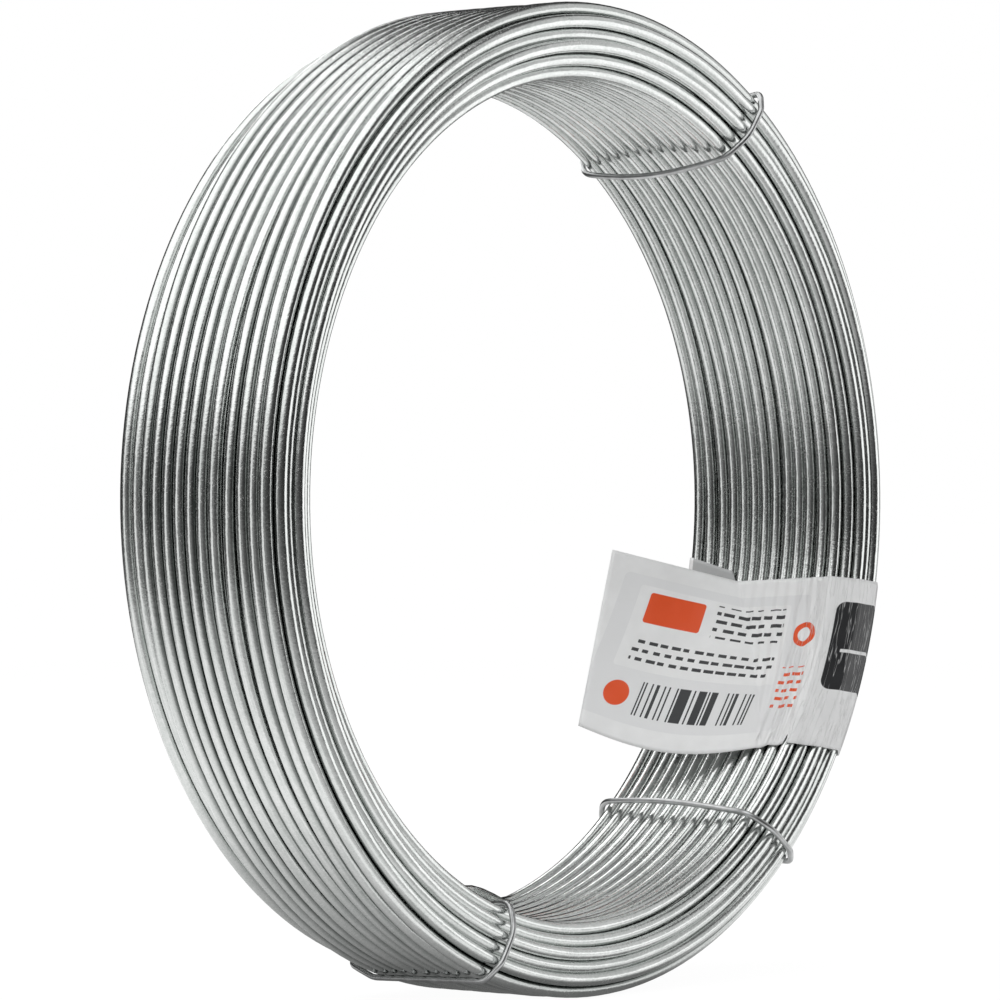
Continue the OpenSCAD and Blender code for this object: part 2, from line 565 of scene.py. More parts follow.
def lay_on_path(mesh, path, sides, half):
    """Sets ring after ring of a tube square to its path."""
    angle, radius, along = path.T
    centre = np.stack([radius * np.cos(angle), -along, AXIS_HEIGHT + radius * np.sin(angle)], axis=1)
    run = np.gradient(centre, axis=0)
    run /= np.linalg.norm(run, axis=1, keepdims=True)
    out = np.stack([np.cos(angle), np.zeros_like(angle), np.sin(angle)], axis=1)
    out -= run * (out * run).sum(axis=1, keepdims=True)
    out /= np.linalg.norm(out, axis=1, keepdims=True)
    side = np.cross(run, out)
    turn = 2 * math.pi * np.arange(sides) / sides
    points = (
        centre[:, None, :]
        + half * np.cos(turn)[None, :, None] * out[:, None, :]
        + half * np.sin(turn)[None, :, None] * side[:, None, :]
    )
    if len(mesh.vertices) != points.shape[0] * points.shape[1]:
        raise RuntimeError(f"{mesh.name}: {len(mesh.vertices)} points for {points.shape} places")
    mesh.vertices.foreach_set("co", points.reshape(-1).astype(np.float32))
    mesh.update()


def read_row(items, name, count):
    """One whole number for each item of a mesh."""
    values = np.empty(count, dtype=np.int32)
    items.foreach_get(name, values)
    return values


def add_map(mesh, name, u, v):
    layout = mesh.uv_layers.new(name=name)
    layout.data.foreach_set("uv", np.stack([u, v], axis=1).reshape(-1).astype(np.float32))


def mark_wire(mesh, path, sides, layer):
    """A map along and round the wire, and a tone that drifts along it."""
    rng = np.random.default_rng(100 + layer)
    corner = read_row(mesh.loops, "vertex_index", len(mesh.loops))
    first = read_row(mesh.polygons, "loop_start", len(mesh.polygons))
    total = read_row(mesh.polygons, "loop_total", len(mesh.polygons))
    ring, spoke = corner // sides, (corner % sides).astype(float)
    for start in first[total == 4]:
        seen = spoke[start:start + 4]
        if seen.max() - seen.min() > sides / 2:
            seen[seen < sides / 2] += sides
    length = ring * (path[:, 1].mean() * (path[1, 0] - path[0, 0]))
    add_map(mesh, "Along wire", length, spoke / sides)
    mark_points(mesh, "tone", np.repeat(drift(rng, len(path), TONE_STEPS), sides))


def drift(rng, count, spacing):
    """A row of values between 0 and 1 that change slowly and at random."""
    knots = rng.uniform(size=count // spacing + 3)
    return np.interp(np.arange(count) / spacing, np.arange(len(knots)), knots)


def mark_points(mesh, name, values):
    field = mesh.attributes.new(name, "FLOAT", "POINT")
    field.data.foreach_set("value", values.reshape(-1).astype(np.float32))


def bend_wire(name, route, diameter):
    """A closed loop of bent wire of round section, as a mesh."""
    deselect()
    bpy.ops.curve.primitive_nurbs_path_add(location=(0, 0, 0))
    piece = bpy.context.object
    piece.name = name
    curve = piece.data
    curve.splines.clear()
    spline = curve.splines.new("POLY")
    spline.points.add(len(route) - 1)
    for knot, place in zip(spline.points, route):
        knot.co = (*place, 1.0)
    spline.use_cyclic_u = True
    curve.twist_mode = "MINIMUM"
    curve.bevel_depth = diameter / 2
    curve.bevel_resolution = 3
    bpy.ops.object.convert(target="MESH")
    piece = bpy.context.object
    bpy.ops.object.mode_set(mode="EDIT")
    bpy.ops.mesh.select_all(action="SELECT")
    bpy.ops.mesh.remove_doubles(threshold=MERGE_DISTANCE)
    face_outwards()
    bpy.ops.object.shade_smooth_by_angle(angle=SMOOTH_ANGLE)
    return piece


# Finishes


def add_node(tree, kind, inputs=None, **settings):
    node = tree.nodes.new(kind)
    for key, value in settings.items():
        setattr(node, key, value)
    for key, value in (inputs or {}).items():
        plug(tree, value, node.inputs[key])
    return node


def plug(tree, value, socket):
    if isinstance(value, bpy.types.NodeSocket):
        tree.links.new(value, socket)
    else:
        socket.default_value = value


def calc(tree, operation, *values, clamp=False):
    node = add_node(tree, "ShaderNodeMath", operation=operation, use_clamp=clamp)
    for i, value in enumerate(values):
        plug(tree, value, node.inputs[i])
    return node.outputs[0]


def vector_calc(tree, operation, *values):
    node = add_node(tree, "ShaderNodeVectorMath", operation=operation)
    for i, value in enumerate(values):
        plug(tree, value, node.inputs[i])
    return node.outputs["Value" if operation == "DOT_PRODUCT" else "Vector"]


def blend(tree, share, first, second):
    node = add_node(tree, "ShaderNodeMix", data_type="RGBA")
    plug(tree, share, node.inputs[0])
    plug(tree, first, node.inputs[6])
    plug(tree, second, node.inputs[7])
    return node.outputs[2]


def fade(tree, share, first, second):
    """A value that gives way to a second one as the share goes from 0 to 1."""
    rest = calc(tree, "MULTIPLY", calc(tree, "SUBTRACT", 1.0, share), first)
    return calc(tree, "ADD", rest, calc(tree, "MULTIPLY", share, second))


def mixture(tree, *parts):
    """Sum of values between 0 and 1, each times its share."""
    total, *others = [calc(tree, "MULTIPLY", value, share) for value, share in parts]
    for part in others:
        total = calc(tree, "ADD", total, part, clamp=True)
    return total


def ramp(tree, value, low, high, first, second):
    node = add_node(tree, "ShaderNodeMapRange", clamp=True, inputs={
        "Value": value, "From Min": low, "From Max": high, "To Min": first, "To Max": second,
    })
    return node.outputs[0]


def noise(tree, place, scale, detail, **inputs):
    node = add_node(tree, "ShaderNodeTexNoise", {
        "Vector": place, "Scale": scale, "Detail": detail, **inputs,
    })
    return node.outputs[0]


def relief(tree, height, strength, depth, normal=None):
    """A normal that is bumped by a height, on top of another normal if one is given."""
    inputs = {"Height": height, "Strength": strength, "Distance": depth}
    if normal is not None:
        inputs["Normal"] = normal
    return add_node(tree, "ShaderNodeBump", inputs).outputs[0]


def marked(tree, name):
    """A value that the mesh carries at its points."""
    node = add_node(tree, "ShaderNodeAttribute", attribute_name=name, attribute_type="GEOMETRY")
    return node.outputs["Fac"]


def new_group(name, inputs, outputs):
    """A shader group with its named sockets. Gives the group, its inputs and its output node."""
    group = bpy.data.node_groups.new(name, "ShaderNodeTree")
    for label, kind, value in inputs:
        socket = group.interface.new_socket(name=label, in_out="INPUT", socket_type=kind)
        if value is not None:
            socket.default_value = value
    for label in outputs:
        group.interface.new_socket(name=label, in_out="OUTPUT", socket_type="NodeSocketFloat")
    come = group.nodes.new("NodeGroupInput").outputs
    go = group.nodes.new("NodeGroupOutput").inputs
    return group, come, go


def place_group(tree, group, inputs):
    return add_node(tree, "ShaderNodeGroup", inputs, node_tree=group).outputs


def drawn_streaks():
    """Long streaks that the drawing die leaves along a wire."""
    group, come, go = new_group(
        "Drawn streaks",
        [("Map", "NodeSocketVector", None), ("Along", "NodeSocketFloat", 120.0),
         ("Round", "NodeSocketFloat", 8.0)],
        ["Streak"],
    )
    parts = add_node(group, "ShaderNodeSeparateXYZ", {"Vector": come["Map"]})
    place = add_node(group, "ShaderNodeCombineXYZ", {
        "X": calc(group, "MULTIPLY", parts.outputs["X"], come["Along"]),
        "Y": calc(group, "MULTIPLY", parts.outputs["Y"], come["Round"]),
    })
    streak = noise(group, place.outputs[0], 1.0, 5.0, Roughness=0.62)
    group.links.new(ramp(group, streak, 0.32, 0.68, 0.0, 1.0), go["Streak"])
    return group


def zinc_speckle():
    """Grain, sparse bright specks and broad dull patches of a zinc coat."""
    group, come, go = new_group(
        "Zinc speckle",
        [("Place", "NodeSocketVector", None), ("Size", "NodeSocketFloat", 1800.0)],
        ["Grain", "Speck", "Mottle"],
    )

    def spots(scale, detail, low, high):
        size = calc(group, "MULTIPLY", come["Size"], scale)
        made = noise(group, come["Place"], size, detail, Roughness=0.6)
        return ramp(group, made, low, high, 0.0, 1.0)

    group.links.new(spots(1.0, 3.0, 0.3, 0.7), go["Grain"])
    group.links.new(spots(0.25, 3.0, 0.35, 0.65), go["Mottle"])
    crowd = spots(0.12, 2.0, 0.38, 0.6)
    group.links.new(calc(group, "MULTIPLY", spots(1.7, 1.0, 0.6, 0.7), crowd), go["Speck"])
    return group


def new_material(name, **sockets):
    material = bpy.data.materials.new(name)
    material.use_nodes = True
    tree = material.node_tree
    shader = tree.nodes["Principled BSDF"]
    for key, value in sockets.items():
        shader.inputs[key.replace("_", " ")].default_value = value
    return material, tree, shader


def colour(values, share=1.0):
    """A solid colour, darkened to a share of itself."""
    return (*(share * c for c in values), 1.0)


def zinc_finish(wire, streaks, specks):
    """Drawn wire with a bright, slightly uneven zinc coat, and painted shade with grime in its grooves.
    """
    material, tree, shader = new_material("Zinc wire", Metallic=1.0)
    map_node = add_node(tree, "ShaderNodeUVMap", uv_map="Along wire")
    place = add_node(tree, "ShaderNodeTexCoord")
    streak = place_group(tree, streaks, {"Map": map_node.outputs[0]})["Streak"]
    speck = place_group(tree, specks, {"Place": place.outputs["Object"]})
    shade = mixture(
        tree, (streak, 0.4), (speck["Grain"], 0.3), (speck["Mottle"], 0.1), (marked(tree, "tone"), 0.2),
    )
    base = blend(tree, shade, colour(wire.dull), colour(wire.bright))
    base = blend(tree, calc(tree, "MULTIPLY", speck["Speck"], 0.8), base, SPECK_COLOUR)
    # Painted shade with grime darkens the zinc where turns lie close together
    shade_and_grime = calc(tree, "MULTIPLY", marked(tree, "groove"), GRIME_AND_SHADE_COVER)
    tree.links.new(blend(tree, shade_and_grime, base, colour(wire.grime_and_shade)), shader.inputs["Base Color"])
    rough = ramp(tree, shade, 0.0, 1.0, 0.21, 0.09)
    rough = calc(tree, "ADD", rough, calc(tree, "MULTIPLY", speck["Speck"], 0.25))
    tree.links.new(rough, shader.inputs["Roughness"])
    height = mixture(tree, (streak, 0.75), (speck["Grain"], 0.25))
    dent = relief(tree, speck["Mottle"], 0.3, 0.05 * MM)
    tree.links.new(relief(tree, height, 0.55, 0.05 * MM, dent), shader.inputs["Normal"])
    return material


def tie_finish(ties, specks):
    """Soft tie wire, duller than the coil."""
    material, tree, shader = new_material("Tie wire", Metallic=1.0)
    place = add_node(tree, "ShaderNodeTexCoord")
    speck = place_group(tree, specks, {"Place": place.outputs["Object"], "Size": 1500.0})
    base = blend(tree, speck["Mottle"], colour(ties.colour, TIE_DARK), colour(ties.colour))
    tree.links.new(base, shader.inputs["Base Color"])
    tree.links.new(ramp(tree, speck["Speck"], 0.0, 1.0, 0.3, 0.45), shader.inputs["Roughness"])
    tree.links.new(relief(tree, speck["Mottle"], 0.4, 0.03 * MM), shader.inputs["Normal"])
    return material


def print_block():
    """Mask of a printed block with round corners, in millimetres on the label."""
    group, come, go = new_group(
        "Print block",
        [("Place", "NodeSocketVector", None), ("Middle", "NodeSocketVector", None),
         ("Half size", "NodeSocketVector", None), ("Corner", "NodeSocketFloat", 1.0)],
        ["Mask"],
    )
    away = vector_calc(group, "SUBTRACT", come["Place"], come["Middle"])
    over = vector_calc(group, "SUBTRACT", vector_calc(group, "ABSOLUTE", away), come["Half size"])
    parts = add_node(group, "ShaderNodeSeparateXYZ", {0: over})
    x = calc(group, "ADD", parts.outputs[0], come["Corner"])
    y = calc(group, "ADD", parts.outputs[1], come["Corner"])
    corner = calc(group, "SQRT", calc(
        group, "ADD",
        calc(group, "POWER", calc(group, "MAXIMUM", x, 0.0), 2.0),
        calc(group, "POWER", calc(group, "MAXIMUM", y, 0.0), 2.0),
    ))
    inner = calc(group, "MINIMUM", calc(group, "MAXIMUM", x, y), 0.0)
    edge = calc(group, "SUBTRACT", calc(group, "ADD", corner, inner), come["Corner"])
    group.links.new(ramp(group, edge, -0.06, 0.06, 1.0, 0.0), go["Mask"])
    return group


def print_rows():
    """Mask of rows of plain dashes that stand for small print."""
    group, come, go = new_group(
        "Print rows",
        [("Place", "NodeSocketVector", None), ("Row", "NodeSocketFloat", 2.0),
         ("Dash", "NodeSocketFloat", 2.4), ("Weight", "NodeSocketFloat", 0.4)],
        ["Mask"],
    )
    parts = add_node(group, "ShaderNodeSeparateXYZ", {0: come["Place"]})
    line = calc(group, "DIVIDE", parts.outputs[1], come["Row"])
    row = calc(group, "FLOOR", line)
    off_middle = calc(group, "SUBTRACT", calc(group, "FRACT", line), 0.5)
    inside = calc(group, "LESS_THAN", calc(group, "ABSOLUTE", off_middle),
                  calc(group, "MULTIPLY", come["Weight"], 0.5))
    # Each row starts at another place, so that the dashes don't stand in columns
    across = calc(group, "DIVIDE", parts.outputs[0], come["Dash"])
    across = calc(group, "ADD", across, calc(group, "MULTIPLY", row, ROW_SHIFT))
    dash_place = add_node(group, "ShaderNodeCombineXYZ", {0: calc(group, "FLOOR", across), 1: row})
    spread = add_node(group, "ShaderNodeTexWhiteNoise", {"Vector": dash_place.outputs[0]},
                      noise_dimensions="2D")
    length = ramp(group, spread.outputs["Value"], 0.0, 1.0, 0.5, 0.88)
    dash = calc(group, "LESS_THAN", calc(group, "FRACT", across), length)
    group.links.new(calc(group, "MULTIPLY", inside, dash), go["Mask"])
    return group


def print_stripes(tree, place):
    """Stripes of random width along the strip."""
    along = add_node(tree, "ShaderNodeSeparateXYZ", {0: place}).outputs[0]
    stripe = calc(tree, "FLOOR", calc(tree, "MULTIPLY", along, STRIPES_PER_MM))
    chance = add_node(tree, "ShaderNodeTexWhiteNoise", {"W": stripe}, noise_dimensions="1D")
    return calc(tree, "GREATER_THAN", chance.outputs["Value"], 0.5)


def paper_finish(label):
    """Coated paper with a plain generic print: blocks, rows of dashes and a scale of stripes."""
    material, tree, shader = new_material("Label paper", Roughness=0.4)
    block, rows = print_block(), print_rows()
    map_node = add_node(tree, "ShaderNodeUVMap", uv_map="Strip")
    place = vector_calc(tree, "MULTIPLY", map_node.outputs[0], (MM_PER_MAP,) * 3)
    solid = add_node(tree, "ShaderNodeTexCoord").outputs["Object"]

    def mask(middle, half, corner):
        return place_group(tree, block, {
            "Place": place, "Middle": (*middle, 0), "Half size": (*half, 1), "Corner": corner,
        })["Mask"]

    def dashes(dash, weight):
        sizes = {"Place": place, "Row": DASH_ROW, "Dash": dash, "Weight": weight}
        return place_group(tree, rows, sizes)["Mask"]

    grain = noise(tree, solid, 220.0, 4.0)
    paper = blend(tree, ramp(tree, grain, 0.3, 0.7, 0.0, 1.0),
                  colour(label.paper, PAPER_DARK), colour(label.paper))
    inks = {name: colour(getattr(label, name)) for name in ("panel", "accent", "ink", "tail")}
    inks["paper"] = paper
    shade = paper
    for kind, ink, middle, half, corner, *dash in LABEL_PRINT:
        share = mask(middle, half, corner)
        if kind == "dashes":
            share = calc(tree, "MULTIPLY", dashes(*dash), share)
        elif kind == "stripes":
            share = calc(tree, "MULTIPLY", print_stripes(tree, place), share)
        shade = blend(tree, share, shade, inks[ink])
    # Creases run along the turns where the strip bends round the near corner. Along them paper colour
    # shows through the print: partly cracked print, partly a painted highlight on the creases
    crease = noise(tree, vector_calc(tree, "MULTIPLY", place, CREASE_SCALE), 1.0, 3.0)
    off_crease = calc(tree, "ABSOLUTE", calc(tree, "SUBTRACT", crease, 0.5))
    line = calc(tree, "MULTIPLY", ramp(tree, off_crease, 0.0, 0.02, 1.0, 0.0), mask(*CREASED))
    shade = blend(tree, calc(tree, "MULTIPLY", line, 0.5), shade, paper)
    tree.links.new(shade, shader.inputs["Base Color"])
    tree.links.new(ramp(tree, grain, 0.3, 0.7, 0.3, 0.46), shader.inputs["Roughness"])
    soft = relief(tree, noise(tree, solid, 130.0, 3.0), 0.5, 0.5 * MM)
    tree.links.new(relief(tree, line, 0.6, 0.2 * MM, soft), shader.inputs["Normal"])
    return material


# Pieces


def finish_piece(piece, node, material):
    piece.data.materials.clear()
    piece.data.materials.append(material)
    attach(piece, "root")
    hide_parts(node)


class COIL_OT_wire(bpy.types.Operator):
    """Winds the wire, layer on layer, from the eye outwards"""

    bl_idname = "coil.wire"
    bl_label = "Wind wire"

    def execute(self, context):
        wire = context.scene.coil_wire
        material = zinc_finish(wire, drawn_streaks(), zinc_speckle())
        paths = winding_paths(wire)
        rng = np.random.default_rng(7)
        for layer, (path, grooves) in enumerate(zip(paths, groove_shares(wire, paths))):
            # Painted shade with grime between turns: full on the outer layer, less on the inner ones, in
            # random patches
            most = 1.0 if layer == len(paths) - 1 else INNER_GRIME_AND_SHADE
            shade_and_grime = most * np.interp(drift(rng, len(path), GRIME_AND_SHADE_STEPS), *GRIME_AND_SHADE_PATCHES)
            piece = wind_layer(wire, layer, path, grooves * shade_and_grime[:, None])
            finish_piece(piece, "wire_coil", material)
        return {"FINISHED"}


def smoothed(values, width):
    """A closed row of values, each averaged with its neighbours."""
    kernel = np.hanning(width + 2)[1:-1]
    half = width // 2
    ring = np.concatenate([values[-half:], values, values[:half]])
    return np.convolve(ring, kernel / kernel.sum(), mode="valid")


def tie_route(wire, ties, angles, bow, lift):
    """A closed loop round the section, bent softly at its corners."""
    away = wire.diameter / 2 + ties.seat + ties.diameter / 2
    points = along_line(outline(wire, away + TIE_LOOSENESS), TIE_STEPS)
    near_lean = points[:, 1] - CORNER_LEAN * points[:, 0]
    far_lean = points[:, 1] + CORNER_LEAN * points[:, 0]
    corners = [near_lean.argmax(), far_lean.argmax(), near_lean.argmin(), far_lean.argmin()]
    step = np.arange(TIE_STEPS)
    place = step + (step < corners[0]) * TIE_STEPS
    at = np.array(corners + [corners[0] + TIE_STEPS], dtype=float)
    swing = np.interp(place, at, angles + angles[:1])
    wall = np.clip((place - at[3]) / (at[4] - at[3]), 0, 1)
    points[:, 0] -= bow * np.sin(math.pi * wall)
    off_rim = lift * np.exp(-((place - at[1]) / TIE_LIFT) ** 2)
    flat = np.stack([smoothed(points[:, i], TIE_SOFT) for i in (0, 1)], axis=1)
    tight = outline(wire, away)
    for start, end in zip(tight, tight[1:] + tight[:1]):
        turn = edge_angle(start, end)
        out = np.array((math.cos(turn), math.sin(turn)))
        # Only the eye's wall leaves the tie room to stand off
        if out[0] > EYE_FACING:
            flat -= np.maximum((flat - start) @ out, 0)[:, None] * out
    radius = smoothed(flat[:, 0] + off_rim, TIE_TIGHT)
    along = smoothed(flat[:, 1], TIE_TIGHT)
    turned = np.radians(smoothed(swing, TIE_SWING))
    return [on_coil(*knot) for knot in zip(radius, turned, along)]


class COIL_OT_ties(bpy.types.Operator):
    """Binds the coil with three bent tie wires"""

    bl_idname = "coil.ties"
    bl_label = "Bind ties"

    def execute(self, context):
        wire, ties = context.scene.coil_wire, context.scene.coil_ties
        material = tie_finish(ties, bpy.data.node_groups["Zinc speckle"])
        for name, bends in TIE_BENDS.items():
            piece = bend_wire(name + "_wire", tie_route(wire, ties, *bends), ties.diameter)
            finish_piece(piece, name, material)
        return {"FINISHED"}


def turns_at(path, steps, angle):
    """Places along the axis of a layer's turns where they pass an angle."""
    first = (angle - path[0, 0]) % (2 * math.pi) / (2 * math.pi) * steps
    return np.interp(np.arange(first, len(path), steps), np.arange(len(path)), path[:, 2])


def label_band(wire, label):
    """Line of the strip from the eye's near corner over the rim to the eye's far corner."""
    line = along_line(outline(wire, wire.diameter / 2 + LABEL_ROOM + label.thickness / 2), BAND_STEPS)
    near_eye = int(np.argmax(line[:, 1] - CORNER_LEAN * line[:, 0]))
    line = np.roll(line, -near_eye, axis=0)
    far_eye = int(np.argmin(line[:, 1] + CORNER_LEAN * line[:, 0]))
    return line[:far_eye + 1]


def flag_run(v, fold, fold_mark):
    """The flag from its tip to the fold. Each run gives places and how far along the strip they are."""
    top, low = (np.array(on_coil(r, math.radians(angle), along)) for r, angle, along in FLAG_TIPS)
    tip = top + (low - top) * v
    length = np.linalg.norm(tip - fold)
    places, marks = [], []
    for s in np.linspace(0, 1, FLAG_STEPS, endpoint=False):
        arch = math.sin(math.pi * s)
        # The lower part of the flag hugs the wall before it leaves it
        hug = FLAG_HUG * v * v * arch
        sway = arch * sum(h * math.sin(a * s + b * v + c) for a, b, c, h in FLAG_WAVES)
        places.append(tip + (fold - tip) * s + HUG_WAY * hug + WAVE_WAY * sway)
        marks.append(fold_mark - length * (1 - s))
    return places, marks


def wall_run(wire, inner, corner, fold_along, v, off):
    """From the fold along the eye's wall to the eye's near corner."""
    eye, near = corner
    depth, nick_place, nick_width, sharpness = NICK
    places, marks = [], []
    for s in np.linspace(0, 1, WALL_STEPS, endpoint=False):
        along = fold_along + (near - fold_along) * s
        angle = math.radians(FOLD_ANGLE + WALL_SWING * s) + off / eye
        # The paper sinks a little between the turns that it lies on
        between = np.abs(along - turns_at(inner, wire.steps, angle)).min() / (pitch(wire) / 2)
        dip = PAPER_DIP * (0.5 - 0.5 * math.cos(math.pi * min(between, 1)))
        lift = PAPER_LIFT * (1 - s) * math.sin(math.pi * min(1, 2 * s)) * v
        nick = depth * math.exp(-((s - nick_place) / nick_width) ** 2) * v ** sharpness
        places.append(on_coil(eye + dip - lift, angle + nick / eye, along))
        marks.append(CORNER_MARK - (near - along))
    return places, marks


def band_run(band, off):
    """Round the near end, the rim and the far end."""
    reach = way_along(band)
    places = []
    for (radius, along), way in zip(band, reach):
        angle = math.radians(np.interp(way / reach[-1], *BAND_SWING)) + off / radius
        places.append(on_coil(radius, angle, along))
    return places, CORNER_MARK + reach


def end_run(band, fold_along, off):
    """The hidden end, from the eye's far corner back towards the fold."""
    eye, far = band[0, 0], band[-1, 1]
    far_mark = CORNER_MARK + way_along(band)[-1]
    places, marks = [], []
    for s in np.arange(1, END_STEPS + 1) / END_STEPS:
        along = far + (fold_along - END_SHORT - far) * s
        angle = math.radians(BAND_SWING[1][-1] + END_SWING * s) + off / eye
        places.append(on_coil(eye + END_SINK, angle, along))
        marks.append(far_mark + (along - far))
    return places, marks


def label_rows(wire, label):
    """Places on the label, row by row across its width, and how far along the strip they are."""
    inner = winding_paths(wire)[0]
    band = label_band(wire, label)
    eye, near = band[0]
    rows, marks = [], []
    across = np.linspace(0, 1, ROW_COUNT)
    for v in across:
        off = (0.5 - v) * label.width
        fold_along = FOLD_ENDS[0] + (FOLD_ENDS[1] - FOLD_ENDS[0]) * v
        fold = np.array(on_coil(eye, math.radians(FOLD_ANGLE) + off / eye, fold_along))
        runs = (
            flag_run(v, fold, CORNER_MARK - (near - fold_along)),
            wall_run(wire, inner, band[0], fold_along, v, off),
            band_run(band, off),
            end_run(band, fold_along, off),
        )
        rows.append(np.concatenate([places for places, _ in runs]))
        marks.append(np.concatenate([ways for _, ways in runs]))
    return np.array(rows), np.array(marks), across * label.width


class COIL_OT_label(bpy.types.Operator):
    """Folds the label round the coil and leaves its end standing as a flag"""

    bl_idname = "coil.label"
    bl_label = "Fold label"

    def execute(self, context):
        wire, label = context.scene.coil_wire, context.scene.coil_label
        rows, marks, across = label_rows(wire, label)
        deselect()
        bpy.ops.mesh.primitive_grid_add(
            x_subdivisions=rows.shape[1] - 1, y_subdivisions=rows.shape[0] - 1, size=1)
        piece = bpy.context.object
        piece.name = "label_strip"
        mesh = piece.data
        mesh.vertices.foreach_set("co", rows.reshape(-1).astype(np.float32))
        while mesh.uv_layers:
            mesh.uv_layers.remove(mesh.uv_layers[0])
        corner = read_row(mesh.loops, "vertex_index", len(mesh.loops))
        u = marks.reshape(-1)[corner] * MAP_PER_METRE
        v = np.repeat(across, rows.shape[1])[corner] * MAP_PER_METRE
        add_map(mesh, "Strip", u, v)
        mesh.update()
        bpy.ops.object.shade_smooth()
        apply(piece, "SOLIDIFY", "Ply", thickness=label.thickness, offset=0.0)
        bpy.ops.object.mode_set(mode="EDIT")
        face_outwards()
        finish_piece(piece, "label", paper_finish(label))
        return {"FINISHED"}


# Stage


def area_light(name, aim, place, size, power):
    deselect()
    bpy.ops.object.light_add(type="AREA", location=place)
    lamp = bpy.context.object
    lamp.name = name
    lamp.data.shape = "SQUARE"
    lamp.data.size = size
    lamp.data.energy = power
    lamp.visible_glossy = False
    point_at(lamp, aim)


def point_at(thing, aim):
    thing.rotation_euler = (Vector(aim) - thing.location).to_track_quat("-Z", "Y").to_euler()


def seen_rays(tree):
    """1 for rays from the camera and rays mirrored or passed on from it."""
    path = add_node(tree, "ShaderNodeLightPath")
    seen = calc(tree, "MAXIMUM", path.outputs["Is Camera Ray"], path.outputs["Is Glossy Ray"])
    return calc(tree, "MAXIMUM", seen, path.outputs["Is Transmission Ray"])


def white_world():
    world = bpy.data.worlds.new("White room")
    bpy.context.scene.world = world
    world.use_nodes = True
    tree = world.node_tree
    back = tree.nodes["Background"]
    back.inputs["Color"].default_value = WHITE
    tree.links.new(ramp(tree, seen_rays(tree), 0.0, 1.0, *ROOM_LIGHT), back.inputs["Strength"])


def white_floor():
    """A pale floor. Metal mirrors it round the coil, with a shadow, and the tent's hem farther off."""
    deselect()
    bpy.ops.mesh.primitive_plane_add(size=FLOOR_SIZE)
    floor = bpy.context.object
    floor.name = "floor"
    material, tree, shader = new_material("White floor", Roughness=0.9)
    shader.inputs["Base Color"].default_value = FLOOR_COLOUR
    place = add_node(tree, "ShaderNodeTexCoord").outputs["Object"]
    turn, _, away = bearings(tree, place)
    across = add_node(tree, "ShaderNodeSeparateXYZ", {0: place}).outputs[1]
    light = add_node(tree, "ShaderNodeValToRGB", {0: ramp(tree, across, *FLOOR_SPAN, 0.0, 1.0)})
    set_stops(light.color_ramp, FLOOR_LIGHT)
    in_front = ramp(tree, calc(tree, "MULTIPLY", across, -1.0), *SHADOW_END, 0.0, 1.0)
    shadow = calc(tree, "MAXIMUM", ramp(tree, away, *CONTACT_SHADOW), in_front)
    near = calc(tree, "MULTIPLY", calc(tree, "MULTIPLY", light.outputs[0], FLOOR_GAIN), shadow)
    hem = tent_light(tree, place, turn, 0.0)
    mirrored = fade(tree, ramp(tree, away, *FLOOR_EDGE, 0.0, 1.0), near, hem)
    glossy = add_node(tree, "ShaderNodeLightPath").outputs["Is Glossy Ray"]
    strength = fade(tree, glossy, FLOOR_SEEN, mirrored)
    glow = add_node(tree, "ShaderNodeEmission", {"Color": WHITE, "Strength": strength})
    mix = add_node(tree, "ShaderNodeMixShader", {
        0: calc(tree, "MULTIPLY", seen_rays(tree), FLOOR_GLOW), 1: shader.outputs[0], 2: glow.outputs[0],
    })
    tree.links.new(mix.outputs[0], tree.nodes["Material Output"].inputs["Surface"])
    floor.data.materials.append(material)


def bearings(tree, place):
    """Bearing from +X, elevation and level distance of a place, in radians and metres."""
    x, y, z = add_node(tree, "ShaderNodeSeparateXYZ", {0: place}).outputs
    square = calc(tree, "ADD", calc(tree, "POWER", x, 2.0), calc(tree, "POWER", y, 2.0))
    away = calc(tree, "SQRT", square)
    return calc(tree, "ARCTAN2", y, x), calc(tree, "ARCTAN2", z, away), away


def tent_light(tree, place, turn, rise):
    """Brightness of the tent in the direction of a place."""
    roof = (-math.sin(ROOF_LEAN), 0, math.cos(ROOF_LEAN))
    near_roof = vector_calc(tree, "DOT_PRODUCT", vector_calc(tree, "NORMALIZE", place), roof)
    angle = calc(tree, "ARCCOSINE", near_roof)
    band = add_node(tree, "ShaderNodeValToRGB", {0: calc(tree, "DIVIDE", angle, math.pi)})
    most = ROOF_LIGHT[0][1]
    set_stops(band.color_ramp, [(degrees / 180, level / most) for degrees, level in ROOF_LIGHT])
    light = calc(tree, "MULTIPLY", band.outputs[0], most)
    for bearing, half, highest, soft, level in TENT_GAPS:
        off = calc(tree, "SUBTRACT", turn, math.radians(bearing))
        off = calc(tree, "ABSOLUTE", calc(tree, "WRAP", off, math.pi, -math.pi))
        wide = soft_edge(tree, off, half, soft)
        tall = soft_edge(tree, rise, highest, soft)
        gap = calc(tree, "MULTIPLY", calc(tree, "MULTIPLY", wide, tall), level)
        light = calc(tree, "MAXIMUM", light, gap)
    return light


def soft_edge(tree, value, edge, soft):
    """1 below an edge and 0 above it, in radians, with the edge and its softness in degrees."""
    return ramp(tree, value, math.radians(edge - soft / 2), math.radians(edge + soft / 2), 1.0, 0.0)


def set_stops(band, stops):
    while len(band.elements) < len(stops):
        band.elements.new(0.5)
    for element, (place, level) in zip(band.elements, stops):
        element.position = place
        element.color = (level, level, level, 1.0)


